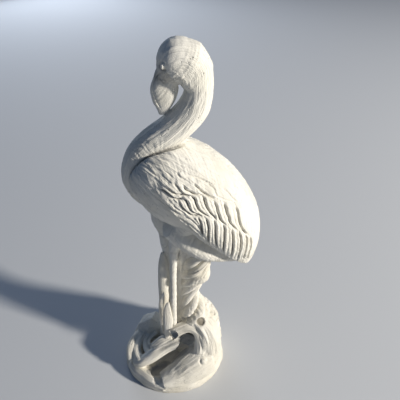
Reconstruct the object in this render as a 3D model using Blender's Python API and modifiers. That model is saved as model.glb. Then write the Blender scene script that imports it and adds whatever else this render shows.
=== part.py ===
"""Cast-concrete garden statue of a flamingo standing in front of driftwood.

Metres, +Z up. The bird faces -X, its left side is at -Y, and the origin is the
middle of the flat underside. The casting is modelled whole, fused and smoothed,
and then parted into its named sub-parts by cuts only GAP wide.
"""

import math

import bmesh
import bpy
from mathutils import Matrix, Vector

# ---------------------------------------------------------------- dimensions
GAP = 0.0003                    # width of every parting cut
FUSE_VOXEL = 0.0036             # grid that fuses the overlapping forms
TRIANGLES = 3500                # faces kept in the whole casting before parting

# Neck: x, z and radius along its centre line, from the nape to the breast.
NECK = (
    (0.068, 0.782, 0.0240),
    (0.0665, 0.758, 0.0250),
    (0.060, 0.733, 0.0262),
    (0.044, 0.708, 0.0270),
    (0.020, 0.686, 0.0275),
    (-0.009, 0.664, 0.0275),
    (-0.034, 0.636, 0.0275),
    (-0.0455, 0.603, 0.0270),
    (-0.0430, 0.575, 0.0255),
    (-0.0300, 0.550, 0.0220),
    (-0.0100, 0.528, 0.0160),
)

# Head: the same, over the crown from the nape to the face.
HEAD = (
    (0.0685, 0.772, 0.0230),
    (0.0650, 0.793, 0.0255),
    (0.0520, 0.8065, 0.0290),
    (0.0360, 0.8070, 0.0305),
    (0.0255, 0.796, 0.0250),
    (0.0175, 0.781, 0.0185),
    (0.0145, 0.768, 0.0170),
)

# Bill: height, middle, half depth along X and half width along Y.
BILL = (
    (0.792, 0.0180, 0.0170, 0.0160),
    (0.778, 0.0150, 0.0185, 0.0155),
    (0.764, 0.0125, 0.0205, 0.0145),
    (0.750, 0.0115, 0.0195, 0.0132),
    (0.737, 0.0115, 0.0160, 0.0112),
    (0.726, 0.0105, 0.0105, 0.0080),
    (0.717, 0.0085, 0.0050, 0.0042),
)

EYE = Vector((0.0155, 0.0200, 0.8010))   # right eye; the left one mirrors it
EYE_RADIUS = 0.0052

# Body: stations along its axis, as distance from the breast, rise of the middle
# off the axis, half height, half width, and half width over the folded wings.
BODY_START = Vector((-0.055, 0.0, 0.600))
BODY_SLOPE = math.radians(40.0)          # the axis falls to the tail
BODY = (
    (-0.010, 0.030, 0.0200, 0.022, 0.020),
    (0.000, 0.032, 0.0380, 0.041, 0.040),
    (0.020, 0.036, 0.0600, 0.060, 0.0605),
    (0.047, 0.040, 0.0745, 0.071, 0.0750),
    (0.084, 0.042, 0.0835, 0.076, 0.0850),
    (0.136, 0.044, 0.0800, 0.073, 0.0880),
    (0.181, 0.040, 0.0740, 0.064, 0.0850),
    (0.223, 0.030, 0.0670, 0.052, 0.0760),
    (0.252, 0.018, 0.0590, 0.042, 0.0650),
    (0.280, 0.004, 0.0440, 0.031, 0.0500),
    (0.303, -0.012, 0.0230, 0.020, 0.0310),
    (0.316, -0.022, 0.0080, 0.009, 0.0130),
)
WING_CORE = 0.010                        # depth of the wing nodes' solid

# Lower edge of the folded wings, as distance along the body's axis and height.
WING_EDGE = (
    (0.010, 0.060),
    (0.030, 0.040),
    (0.050, 0.030),
    (0.092, 0.018),
    (0.148, 0.007),
    (0.202, 0.002),
    (0.250, -0.004),
    (0.290, -0.014),
    (0.340, -0.030),
)
WING_TOP = ((0.380, 0.000), (0.380, 0.160), (-0.020, 0.160), (-0.020, 0.070))

# Tail: x, z and radius below the wing tips.
TAIL = (
    (0.066, 0.462, 0.038),
    (0.103, 0.434, 0.028),
    (0.140, 0.412, 0.0225),
    (0.166, 0.394, 0.0140),
    (0.176, 0.384, 0.0070),
)

# Legs: x, y, z and radius of the left leg, then of the right one.
LEG_LEFT = (
    (0.046, -0.028, 0.530, 0.028),
    (0.022, -0.027, 0.445, 0.024),
    (0.014, -0.023, 0.390, 0.0145),
    (0.011, -0.021, 0.335, 0.0105),
    (0.008, -0.020, 0.250, 0.0100),
    (0.005, -0.019, 0.160, 0.0105),
    (0.002, -0.018, 0.080, 0.0120),
)
LEG_RIGHT = (
    (0.026, 0.028, 0.530, 0.028),
    (0.000, 0.027, 0.445, 0.024),
    (-0.004, 0.024, 0.390, 0.0145),
    (-0.005, 0.022, 0.335, 0.0110),
    (-0.008, 0.021, 0.250, 0.0105),
    (-0.010, 0.020, 0.160, 0.0110),
    (-0.012, 0.019, 0.080, 0.0120),
)

# Driftwood: x, y, z and radius along each of its limbs.
DRIFTWOOD = {
    "trunk": (
        (0.056, 0.030, 0.010, 0.066), (0.056, 0.022, 0.080, 0.056),
        (0.058, 0.016, 0.140, 0.048), (0.052, 0.012, 0.190, 0.034),
        (0.043, 0.010, 0.245, 0.022), (0.049, 0.008, 0.295, 0.027),
        (0.059, 0.004, 0.340, 0.035), (0.064, 0.000, 0.390, 0.034),
        (0.070, 0.000, 0.450, 0.030)),
    "front_strand": (
        (0.022, 0.006, 0.060, 0.032), (0.026, 0.000, 0.140, 0.026),
        (0.026, 0.002, 0.200, 0.018), (0.025, 0.004, 0.255, 0.014),
        (0.030, 0.000, 0.310, 0.015), (0.036, -0.004, 0.360, 0.018),
        (0.040, -0.004, 0.410, 0.022), (0.046, 0.000, 0.470, 0.026)),
    "right_root": (
        (0.052, 0.000, 0.170, 0.024), (0.080, -0.002, 0.148, 0.028),
        (0.095, 0.000, 0.105, 0.028), (0.092, 0.004, 0.040, 0.036)),
    "front_log": (
        (-0.014, -0.098, 0.020, 0.018), (0.014, -0.086, 0.027, 0.030),
        (0.050, -0.065, 0.031, 0.041), (0.083, -0.034, 0.036, 0.045),
        (0.092, 0.010, 0.044, 0.043)),
    "curled_root": (
        (-0.056, 0.028, 0.064, 0.014), (-0.088, 0.022, 0.060, 0.020),
        (-0.107, -0.006, 0.052, 0.022), (-0.100, -0.036, 0.050, 0.022),
        (-0.068, -0.050, 0.052, 0.022), (-0.030, -0.040, 0.056, 0.020),
        (0.005, -0.022, 0.060, 0.018), (0.034, -0.004, 0.062, 0.016)),
    "left_root": (
        (-0.106, -0.042, 0.018, 0.011), (-0.081, -0.068, 0.022, 0.014),
        (-0.048, -0.090, 0.022, 0.014), (-0.014, -0.104, 0.016, 0.012)),
}
# Reeds in front of the legs: x, y, z and radius along each blade.
REEDS = {
    "reed_tall": (
        (-0.026, 0.008, 0.045, 0.013), (-0.024, 0.008, 0.200, 0.010),
        (-0.023, 0.006, 0.300, 0.008), (-0.022, 0.004, 0.370, 0.003)),
    "reed_front": (
        (-0.028, -0.008, 0.045, 0.012), (-0.022, -0.018, 0.160, 0.009),
        (-0.019, -0.022, 0.225, 0.007), (-0.017, -0.024, 0.262, 0.003)),
    "reed_side": (
        (-0.036, 0.002, 0.045, 0.010), (-0.032, -0.004, 0.190, 0.009),
        (-0.028, -0.008, 0.262, 0.003)),
}
STONE = Vector((-0.060, 0.046, 0.045))
STONE_HALF_SIZE = (0.052, 0.050, 0.048)
HOLLOW = Vector((0.042, -0.012, 0.062))  # opening under the trunk's arch
HOLLOW_HALF_SIZE = (0.020, 0.022, 0.020)

# Base mound: half lengths of its outline, then height and share of them.
BASE_HALF_LENGTH = 0.131
BASE_HALF_WIDTH = 0.114
BASE_PROFILE = ((-0.012, 1.0), (0.010, 1.0), (0.022, 0.96), (0.028, 0.85), (0.030, 0.60))

# Parting cuts: a line of points in the XZ or XY plane, and the stretch of the
# third axis that the cut runs through.
WIDE = 0.20
CUTS = {
    "nape": (((0.036, 0.7560), (0.046, 0.7700), (0.110, 0.7920)), "XZ", -WIDE, WIDE),
    "face": (((-0.040, 0.8005), (0.0345, 0.7585)), "XZ", -WIDE, WIDE),
    "bill_tip": (
        ((-0.018, 0.6950), (0.0075, 0.7120), (0.0230, 0.7270), (0.0345, 0.7530)),
        "XZ", -WIDE, WIDE),
    "neck_middle": (((0.0340, 0.7490), (0.110, 0.7250)), "XZ", -WIDE, WIDE),
    "neck_base": (
        ((0.062, 0.6830), (0.040, 0.6690), (0.010, 0.6600), (-0.015, 0.6450),
         (-0.034, 0.6220), (-0.042, 0.6000), (-0.056, 0.5820), (-0.100, 0.5700)),
        "XZ", -WIDE, WIDE),
    "hips": (
        ((-0.060, 0.4340), (0.045, 0.4340), (0.085, 0.4120), (0.118, 0.3860)),
        "XZ", -WIDE, WIDE),
    "ankles": (((-0.160, 0.0980), (0.160, 0.0980)), "XZ", -WIDE, WIDE),
    "plinth": (((-0.160, 0.0400), (0.160, 0.0400)), "XZ", -WIDE, WIDE),
    "gape": (
        ((0.0100, 0.8000), (0.0030, 0.7830), (0.0005, 0.7680), (0.0010, 0.7520),
         (0.0040, 0.7380), (0.0075, 0.7260), (0.0090, 0.7000)),
        "XZ", -WIDE, WIDE),
    "rump": (((0.190, 0.520), (0.105, 0.380)), "XZ", -WIDE, WIDE),
    "shins": (
        ((0.0270, 0.4500), (0.0255, 0.3900), (0.0220, 0.3350), (0.0190, 0.2500),
         (0.0160, 0.1600), (0.0130, 0.0700)), "XZ", -WIDE, WIDE),
    "reeds": (
        ((-0.0600, 0.3900), (-0.0200, 0.3780), (-0.0165, 0.3350), (-0.0150, 0.2500),
         (-0.0170, 0.1600), (-0.0190, 0.0700)), "XZ", -WIDE, WIDE),
    "between_legs": (((-0.060, 0.0015), (0.060, 0.0015)), "XY", 0.050, 0.440),
    "log_end": (((0.026, -0.080), (0.022, -0.020), (0.000, 0.012), (0.004, 0.120)),
                "XY", 0.000, 0.100),
    "log_back": (((0.01788, -0.014), (0.160, -0.010)), "XY", 0.000, 0.100),
    "root_tail": (((-0.160, 0.030), (-0.080, 0.014), (0.00688, 0.002)), "XY", 0.000, 0.100),
}

# How the casting is divided: the solid, its cuts, and a point in each new body.
DIVISIONS = (
    ("whole",
     ("nape", "face", "bill_tip", "neck_middle", "neck_base", "hips", "ankles", "plinth"),
     {"head": (0.040, 0.0, 0.800), "bill": (0.012, 0.0, 0.750),
      "neck_upper": (0.066, 0.0, 0.755), "neck_lower": (0.0, 0.0, 0.670),
      "trunk": (0.070, 0.0, 0.530), "standing": (0.020, 0.0, 0.250),
      "logs": (0.010, 0.0, 0.060), "base": (0.0, 0.0, 0.020)}),
    ("bill", ("gape",),
     {"bill_upper": (-0.004, 0.0, 0.760), "bill_lower": (0.018, 0.0, 0.755)}),
    ("standing", ("shins", "reeds"),
     {"driftwood_trunk": (0.055, 0.0, 0.250), "legs": (0.003, 0.0, 0.300),
      "reeds": (-0.026, -0.004, 0.200)}),
    ("legs", ("between_legs",),
     {"leg_left": (0.010, -0.020, 0.280), "leg_right": (-0.006, 0.021, 0.280)}),
    ("logs", ("log_end", "log_back", "root_tail"),
     {"front_log": (0.055, -0.060, 0.060), "driftwood_foot": (0.060, 0.030, 0.062),
      "curled_root": (-0.060, -0.040, 0.060), "stone": (-0.060, 0.050, 0.065)}),
)
CHIP_VOLUME = 1.5e-7            # smaller offcuts are crumbs and are left out

# Finish: one pale concrete, with a tone for each sub-part that differs from it.
CONCRETE = (0.62, 0.59, 0.53)
ROUGHNESS = 0.88
PAINT_TONES = {
    "bill_upper": 0.95, "bill_lower": 0.97, "eye_left": 0.80, "eye_right": 0.80,
    "driftwood_trunk": 0.90, "driftwood_foot": 0.86, "front_log": 0.86,
    "curled_root": 0.84, "stone": 0.80, "reeds": 0.90, "base": 0.78,
}

# ------------------------------------------------------------------ helpers
casting = bpy.data.collections.new("FlamingoStatue")


def clear_scene():
    for old in list(bpy.data.objects):
        bpy.data.objects.remove(old)
    bpy.context.scene.collection.children.link(casting)


def add_object(name, data):
    thing = bpy.data.objects.new(name, data)
    casting.objects.link(thing)
    return thing


def tube(name, points):
    """A closed round limb through (x, y, z, radius) points."""
    curve = bpy.data.curves.new(name, "CURVE")
    curve.dimensions = "3D"
    curve.bevel_depth = 1.0
    curve.bevel_resolution = 6
    curve.resolution_u = 5
    curve.use_fill_caps = True
    spline = curve.splines.new("BEZIER")
    spline.bezier_points.add(len(points) - 1)
    spline.radius_interpolation = "CARDINAL"
    for knot, (x, y, z, radius) in zip(spline.bezier_points, points):
        knot.co = (x, y, z)
        knot.radius = radius
        knot.handle_left_type = "AUTO"
        knot.handle_right_type = "AUTO"
    holder = add_object(name + "_curve", curve)
    mesh = evaluated_mesh(holder)
    bpy.data.objects.remove(holder)
    return add_object(name, mesh)


def evaluated_mesh(thing):
    bpy.context.view_layer.update()
    graph = bpy.context.evaluated_depsgraph_get()
    mesh = bpy.data.meshes.new_from_object(thing.evaluated_get(graph))
    work = bmesh.new()
    work.from_mesh(mesh)
    bmesh.ops.remove_doubles(work, verts=work.verts, dist=0.000001)
    bmesh.ops.recalc_face_normals(work, faces=work.faces)
    work.to_mesh(mesh)
    work.free()
    return mesh


def between(before, start, end, after, t):
    """Catmull-Rom value between start and end."""
    return 0.5 * (
        2.0 * start
        + (end - before) * t
        + (2.0 * before - 5.0 * start + 4.0 * end - after) * t ** 2
        + (3.0 * start - before - 3.0 * end + after) * t ** 3
    )


def smooth_rows(rows, steps):
    """Rows of numbers filled in by a smooth curve, steps to each stretch."""
    filled = []
    last = len(rows) - 1
    for i in range(last):
        quad = [rows[max(i - 1, 0)], rows[i], rows[i + 1], rows[min(i + 2, last)]]
        for step in range(steps):
            t = step / steps
            filled.append(tuple(between(*values, t) for values in zip(*quad)))
    filled.append(tuple(rows[last]))
    return filled


def loft(name, rings):
    """A closed skin over rings of points, with a flat cap at each end."""
    work = bmesh.new()
    loops = [[work.verts.new(point) for point in ring] for ring in rings]
    count = len(loops[0])
    for low, high in zip(loops, loops[1:]):
        for i in range(count):
            j = (i + 1) % count
            work.faces.new((low[i], low[j], high[j], high[i]))
    work.faces.new(loops[0])
    work.faces.new(loops[-1])
    bmesh.ops.recalc_face_normals(work, faces=work.faces)
    mesh = bpy.data.meshes.new(name)
    work.to_mesh(mesh)
    work.free()
    return add_object(name, mesh)


def ellipse_ring(centre, across, upward, sides=40):
    """Points of an ellipse from its centre and its two half-axis vectors."""
    turns = [2.0 * math.pi * i / sides for i in range(sides)]
    return [centre + across * math.cos(a) + upward * math.sin(a) for a in turns]


def placed(name, centre, size):
    """The primitive just added, named, sized and moved into the casting."""
    thing = bpy.context.object
    thing.name = name
    for owner in list(thing.users_collection):
        owner.objects.unlink(thing)
    casting.objects.link(thing)
    thing.data.transform(Matrix.Translation(centre) @ Matrix.Diagonal((*size, 1.0)))
    return thing


def block(name, centre, size):
    bpy.ops.mesh.primitive_cube_add(size=1.0)
    return placed(name, centre, size)


def ball(name, centre, half_size):
    bpy.ops.mesh.primitive_uv_sphere_add(segments=12, ring_count=8, radius=1.0)
    return placed(name, centre, half_size)


def apply_modifiers(thing):
    mesh = evaluated_mesh(thing)
    thing.modifiers.clear()
    thing.data = mesh


def carve(thing, cutter, operation="DIFFERENCE"):
    """Cut a solid with another one, which is used up."""
    cut = thing.modifiers.new("Cut", "BOOLEAN")
    cut.operation = operation
    cut.object = cutter
    apply_modifiers(thing)
    bpy.data.objects.remove(cutter)


def copy_of(thing, name):
    return add_object(name, thing.data.copy())


# ---------------------------------------------------------------- the forms
def along_body(distance, rise):
    """A point of the body's middle plane, from its axis coordinates."""
    ahead = Vector((math.cos(BODY_SLOPE), 0.0, -math.sin(BODY_SLOPE)))
    upward = Vector((math.sin(BODY_SLOPE), 0.0, math.cos(BODY_SLOPE)))
    return BODY_START + ahead * distance + upward * rise


def body_form(name, wings=False, inset=0.0, sides=40, steps=4):
    """The egg of the body, as wide as the bare body or as its folded wings."""
    upward = along_body(0.0, 1.0) - along_body(0.0, 0.0)
    rings = []
    for distance, rise, half_height, bare, winged in smooth_rows(BODY, steps):
        half_width = winged if wings else bare
        rings.append(ellipse_ring(
            along_body(distance, rise),
            Vector((0.0, max(half_width - inset, 0.002), 0.0)),
            upward * max(half_height - inset, 0.002), sides))
    return loft(name, rings)


def wing_prism(name, side, inner, offset=0.0):
    """All that lies above the wing's lower edge on one side of the body."""
    edge = [(s, h - offset) for s, h in smooth_rows(WING_EDGE, 2)]
    profile = [along_body(s, h) for s, h in edge + list(WING_TOP)]
    rings = [[Vector((p.x, y * side, p.z)) for p in profile] for y in (inner, 0.150)]
    return loft(name, rings)


def wing_form(name, side):
    """A folded wing: the wide egg, kept only above the wing's lower edge."""
    wing = body_form(name, wings=True)
    carve(wing, wing_prism(name + "_prism", side, 0.0), "INTERSECT")
    return wing


def wing_zone(name, side, offset):
    """The space of a wing node: the prism outside the body's core."""
    zone = wing_prism(name, side, 0.5 * GAP - offset, offset)
    inset = WING_CORE + offset
    carve(zone, body_form(name + "_core", wings=True, inset=inset, sides=20, steps=2))
    return zone


def bill_form():
    rings = []
    for height, middle, half_depth, half_width in smooth_rows(BILL, 3):
        rings.append(ellipse_ring(
            Vector((middle, 0.0, height)),
            Vector((half_depth, 0.0, 0.0)), Vector((0.0, half_width, 0.0)), 28))
    return loft("bill_form", rings)


def plane_path(rows):
    """(x, z, radius) rows of a limb that lies in the middle plane."""
    return [(x, 0.0, z, radius) for x, z, radius in rows]


def base_form():
    """The low mound that everything stands in, deeper than its underside."""
    rings = []
    for height, grow in BASE_PROFILE:
        rings.append(ellipse_ring(
            Vector((0.0, 0.0, height)),
            Vector((BASE_HALF_LENGTH * grow, 0.0, 0.0)),
            Vector((0.0, BASE_HALF_WIDTH * grow, 0.0)), 56))
    return loft("base_form", rings)


def driftwood_forms():
    forms = [tube(name, points) for name, points in DRIFTWOOD.items()]
    forms.append(ball("stone_form", STONE, STONE_HALF_SIZE))
    return forms


def reed_forms():
    return [tube(name, points) for name, points in REEDS.items()]


def fuse(forms):
    """Join overlapping forms, melt them into one casting and thin its mesh."""
    joined = bpy.data.meshes.new("whole")
    work = bmesh.new()
    for form in forms:
        work.from_mesh(form.data)
        bpy.data.objects.remove(form)
    work.to_mesh(joined)
    work.free()
    whole = add_object("whole", joined)
    melt = whole.modifiers.new("Melt", "REMESH")
    melt.mode = "VOXEL"
    melt.voxel_size = FUSE_VOXEL
    ease = whole.modifiers.new("Ease", "SMOOTH")
    ease.factor = 0.5
    ease.iterations = 3
    apply_modifiers(whole)
    thin = whole.modifiers.new("Thin", "DECIMATE")
    thin.ratio = TRIANGLES / (2.0 * len(whole.data.polygons))
    apply_modifiers(whole)
    return whole


# ---------------------------------------------------------------- the parting
def ribbon(name, points, plane, low, high):
    """A cutter GAP thick along a line of points, drawn in the XZ or XY plane."""
    flat = [Vector(point) for point in points]
    near = []
    far = []
    for i, point in enumerate(flat):
        ahead = (flat[min(i + 1, len(flat) - 1)] - flat[max(i - 1, 0)]).normalized()
        aside = Vector((-ahead.y, ahead.x)) * (0.5 * GAP)
        near.append(point + aside)
        far.append(point - aside)
    outline = near + far[::-1]
    if plane == "XZ":
        rings = [[Vector((p.x, y, p.y)) for p in outline] for y in (low, high)]
    else:
        rings = [[Vector((p.x, p.y, z)) for p in outline] for z in (low, high)]
    return loft(name, rings)


def part_at(thing, ribbon_name):
    """Cut a solid along one of the named ribbons."""
    carve(thing, ribbon(ribbon_name + "_cut", *CUTS[ribbon_name]))


def volume_and_middle(mesh):
    work = bmesh.new()
    work.from_mesh(mesh)
    volume = work.calc_volume()
    middle = sum((v.co for v in work.verts), Vector()) / max(len(work.verts), 1)
    work.free()
    return volume, middle


def loose_bodies(mesh):
    """The separate closed bodies of a mesh, each as a mesh of its own."""
    work = bmesh.new()
    work.from_mesh(mesh)
    left = set(work.verts)
    bodies = []
    while left:
        front = [left.pop()]
        island = set(front)
        while front:
            for edge in front.pop().link_edges:
                for vert in edge.verts:
                    if vert in left:
                        left.discard(vert)
                        island.add(vert)
                        front.append(vert)
        bodies.append({vert.index for vert in island})
    work.free()
    meshes = []
    for keep in bodies:
        piece = bmesh.new()
        piece.from_mesh(mesh)
        drop = [vert for vert in piece.verts if vert.index not in keep]
        bmesh.ops.delete(piece, geom=drop, context="VERTS")
        body = bpy.data.meshes.new("body")
        piece.to_mesh(body)
        piece.free()
        meshes.append(body)
    return meshes


def divide(thing, cut_names, seeds):
    """Cut a solid and name each body that results after its nearest seed."""
    for name in cut_names:
        part_at(thing, name)
    bodies = [(*volume_and_middle(mesh), mesh) for mesh in loose_bodies(thing.data)]
    bpy.data.objects.remove(thing)
    bodies.sort(key=lambda body: -body[0])
    free = dict(seeds)
    for volume, middle, mesh in bodies:
        if volume < CHIP_VOLUME:
            continue
        name = min(free, key=lambda key: (Vector(free[key]) - middle).length)
        del free[name]
        add_object(name, mesh)


def take_wings(trunk):
    """Part the folded wings from the trunk, then its tail."""
    for side, name in ((-1.0, "wing_left"), (1.0, "wing_right")):
        wing = copy_of(trunk, name)
        carve(wing, wing_zone(name + "_zone", side, 0.0), "INTERSECT")
        carve(trunk, wing_zone(name + "_space", side, GAP))
    divide(trunk, ("rump",), {"trunk": (0.050, 0.0, 0.530), "tail": (0.160, 0.0, 0.420)})


def set_eyes(head):
    """Two round eyes, each in a socket that clears it by GAP."""
    for side, name in ((-1.0, "eye_left"), (1.0, "eye_right")):
        centre = Vector((EYE.x, EYE.y * side, EYE.z))
        carve(head, ball(name + "_socket", centre, [EYE_RADIUS + GAP] * 3))
        ball(name, centre, [EYE_RADIUS] * 3)


def paint(thing):
    """Give a sub-part a concrete of its own tone."""
    tone = PAINT_TONES.get(thing.name, 1.0)
    concrete = bpy.data.materials.new(thing.name + "_concrete")
    concrete.use_nodes = True
    shader = concrete.node_tree.nodes["Principled BSDF"]
    shader.inputs["Base Color"].default_value = (*[tone * value for value in CONCRETE], 1.0)
    shader.inputs["Roughness"].default_value = ROUGHNESS
    shader.inputs["Metallic"].default_value = 0.0
    thing.data.materials.clear()
    thing.data.materials.append(concrete)


def cast_whole():
    """The whole statue as one closed solid with a flat underside."""
    forms = [
        tube("neck_form", plane_path(NECK)),
        tube("head_form", plane_path(HEAD)),
        tube("tail_form", plane_path(TAIL)),
        tube("leg_left_form", LEG_LEFT),
        tube("leg_right_form", LEG_RIGHT),
        bill_form(),
        body_form("body_form"),
        wing_form("wing_left_form", -1.0),
        wing_form("wing_right_form", 1.0),
        base_form(),
    ]
    forms += driftwood_forms()
    forms += reed_forms()
    whole = fuse(forms)
    carve(whole, block("floor_cut", Vector((0.0, 0.0, -0.05)), (0.6, 0.6, 0.1)))
    carve(whole, ball("hollow_cut", HOLLOW, HOLLOW_HALF_SIZE))
    return whole


def main():
    clear_scene()
    cast_whole()
    for source, cut_names, seeds in DIVISIONS:
        divide(bpy.data.objects[source], cut_names, seeds)
    take_wings(bpy.data.objects["trunk"])
    set_eyes(bpy.data.objects["head"])
    for thing in casting.objects:
        paint(thing)


main()
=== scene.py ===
"""Visual model of a cast-concrete garden flamingo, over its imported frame.

Metres, +Z up. The bird faces -X with its left side at -Y. Each skin is fused
from overlapping closed forms, then carved: its points are moved along their
normals by relief worked out from where they lie on the neck, the body, the
wings or the wood.
"""

import math

import bmesh
import bpy
import numpy as np
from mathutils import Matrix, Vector


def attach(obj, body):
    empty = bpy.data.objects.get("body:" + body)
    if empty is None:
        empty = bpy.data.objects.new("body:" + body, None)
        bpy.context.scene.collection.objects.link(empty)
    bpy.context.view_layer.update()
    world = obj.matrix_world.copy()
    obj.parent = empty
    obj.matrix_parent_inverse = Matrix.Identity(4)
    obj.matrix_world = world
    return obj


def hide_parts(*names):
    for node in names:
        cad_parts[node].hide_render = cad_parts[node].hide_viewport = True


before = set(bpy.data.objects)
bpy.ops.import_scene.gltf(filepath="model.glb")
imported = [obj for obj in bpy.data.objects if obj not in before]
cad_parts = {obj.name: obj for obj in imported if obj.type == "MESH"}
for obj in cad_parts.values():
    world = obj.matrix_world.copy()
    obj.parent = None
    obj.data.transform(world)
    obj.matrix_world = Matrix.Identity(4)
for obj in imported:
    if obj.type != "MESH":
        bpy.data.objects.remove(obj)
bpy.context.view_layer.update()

# -------------------- dimensions
BIRD_VOXEL = 0.00115  # grid that fuses the bird's forms
WOOD_VOXEL = 0.0016
REED_VOXEL = 0.0009
MOST_FACES = 190000  # triangles kept in one skin
FULL_TURN = 2.0 * math.pi

# Neck and head: x, z and radius along their centre lines.
NECK = (
    (0.0665, 0.792, 0.0235), (0.0682, 0.768, 0.0235), (0.0668, 0.75, 0.024),
    (0.0602, 0.73, 0.026), (0.044, 0.708, 0.027), (0.02, 0.686, 0.0275), (-0.009, 0.664, 0.0275),
    (-0.034, 0.636, 0.0275), (-0.0455, 0.603, 0.027), (-0.043, 0.575, 0.0255),
    (-0.03, 0.55, 0.022), (-0.01, 0.528, 0.016),
)
HEAD = (
    (0.052, 0.8065, 0.029), (0.036, 0.807, 0.0305), (0.0255, 0.797, 0.0235),
    (0.018, 0.782, 0.016), (0.015, 0.768, 0.0115),
)
# The head is the skin stretched over these balls: middle and half size.
HEAD_BALLS = (
    ((0.065, 0.0, 0.793), (0.0255, 0.0255, 0.0255)),
    ((0.054, 0.0, 0.805), (0.0285, 0.0295, 0.0298)),
    ((0.0385, 0.0, 0.8068), (0.0328, 0.0305, 0.0322)),
    ((0.0255, 0.0, 0.797), (0.0238, 0.0255, 0.0238)),
    ((0.018, 0.0, 0.784), (0.016, 0.0165, 0.0165)),
    ((0.043, 0.0, 0.793), (0.02, 0.0295, 0.019)),
    ((0.044, 0.0, 0.7845), (0.016, 0.017, 0.0165)),
)
NAPE_BALLS = HEAD_BALLS[:2] + (HEAD_BALLS[5], ((0.0685, 0.0, 0.768), (0.0232, 0.024, 0.02)))
# Bill: height, middle, half depth along X and half width along Y.
BILL = (
    (0.792, 0.0185, 0.018, 0.015), (0.778, 0.0158, 0.0198, 0.015),
    (0.764, 0.0145, 0.0222, 0.0145), (0.75, 0.0132, 0.0208, 0.0132),
    (0.737, 0.012, 0.0165, 0.0108), (0.726, 0.0106, 0.0106, 0.0078),
    (0.717, 0.0085, 0.005, 0.0042),
)
BILL_BOXINESS = 0.8  # 1 makes the bill's section an ellipse, 0 a box
EYE = Vector((0.0155, 0.0212, 0.8036))  # right eye; the left one mirrors it
EYE_HALF_SIZE = (0.0032, 0.0044, 0.0048)

# Body: distance along its axis, rise of the middle off the axis, half height,
# half width bare, and half width over the folded wings.
BODY_START = Vector((-0.055, 0.0, 0.6))
BODY_SLOPE = math.radians(40.0)
BODY = (
    (-0.015, 0.034, 0.018, 0.02, 0.018), (-0.007, 0.038, 0.04, 0.041, 0.04),
    (0.003, 0.041, 0.051, 0.052, 0.051), (0.02, 0.043, 0.0665, 0.0625, 0.063),
    (0.047, 0.0425, 0.0765, 0.069, 0.075), (0.084, 0.042, 0.0835, 0.0725, 0.085),
    (0.136, 0.044, 0.08, 0.069, 0.088), (0.181, 0.04, 0.074, 0.06, 0.085),
    (0.223, 0.03, 0.067, 0.05, 0.076), (0.252, 0.018, 0.059, 0.041, 0.065),
    (0.28, 0.004, 0.044, 0.031, 0.05), (0.303, -0.012, 0.023, 0.02, 0.031),
    (0.316, -0.022, 0.008, 0.009, 0.013),
)
# Lower edge of the folded wings: distance along the axis and height over it.
WING_EDGE = (
    (0.012, 0.058), (0.032, 0.042), (0.064, 0.034), (0.108, 0.023), (0.153, 0.01),
    (0.201, 0.003), (0.25, -0.004), (0.29, -0.014), (0.34, -0.03),
)
# Tail: x, z and half width; it is TAIL_FLATNESS times as tall as it is wide.
TAIL = (
    (0.012, 0.494, 0.052), (0.045, 0.47, 0.062), (0.078, 0.446, 0.064), (0.105, 0.434, 0.058),
    (0.138, 0.416, 0.043), (0.16, 0.401, 0.026), (0.174, 0.389, 0.012),
)
TAIL_FLATNESS = 0.58
VENT = ((0.056, 0.0, 0.47), (0.042, 0.052, 0.034))  # fills the rump to the thighs
LOIN = ((0.042, 0.0, 0.452), (0.032, 0.033, 0.042))  # runs down into the driftwood
LEG_TOP = 0.43  # height where the thighs' feathers end
# Legs: x, y, z and radius.
LEG_LEFT = (
    (0.052, -0.03, 0.53, 0.03), (0.026, -0.031, 0.466, 0.0175), (0.0175, -0.029, 0.43, 0.0105),
    (0.0145, -0.026, 0.39, 0.008), (0.0122, -0.022, 0.345, 0.0074),
    (0.0102, -0.021, 0.293, 0.0073), (0.0064, -0.02, 0.178, 0.0076), (0.003, -0.019, 0.08, 0.01),
)
LEG_RIGHT = (
    (0.004, 0.028, 0.515, 0.031), (-0.003, 0.028, 0.474, 0.0285), (0.002, 0.027, 0.436, 0.022),
    (0.0, 0.025, 0.4, 0.0165), (-0.002, 0.023, 0.365, 0.011), (-0.005, 0.021, 0.3, 0.0085),
    (-0.009, 0.02, 0.18, 0.0085), (-0.012, 0.019, 0.08, 0.011),
)
# Driftwood trunk's core, and the limbs round it: x, y, z and radius.
TRUNK = (
    (0.058, 0.03, 0.01, 0.06), (0.059, 0.022, 0.08, 0.051), (0.06, 0.016, 0.14, 0.043),
    (0.054, 0.012, 0.19, 0.031), (0.045, 0.01, 0.245, 0.0185), (0.051, 0.008, 0.292, 0.0205),
    (0.06, 0.004, 0.335, 0.027), (0.064, 0.0, 0.39, 0.027), (0.07, 0.0, 0.45, 0.026),
)
STRANDS = 5  # ridges twisted round the trunk
STRAND_TWIST = 34.0  # radians they turn in a metre of height
STRAND_SWING = 0.86  # their distance from the trunk's middle, in radii
STRAND_THICKNESS = 0.37  # their radius, in the trunk's radii
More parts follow.
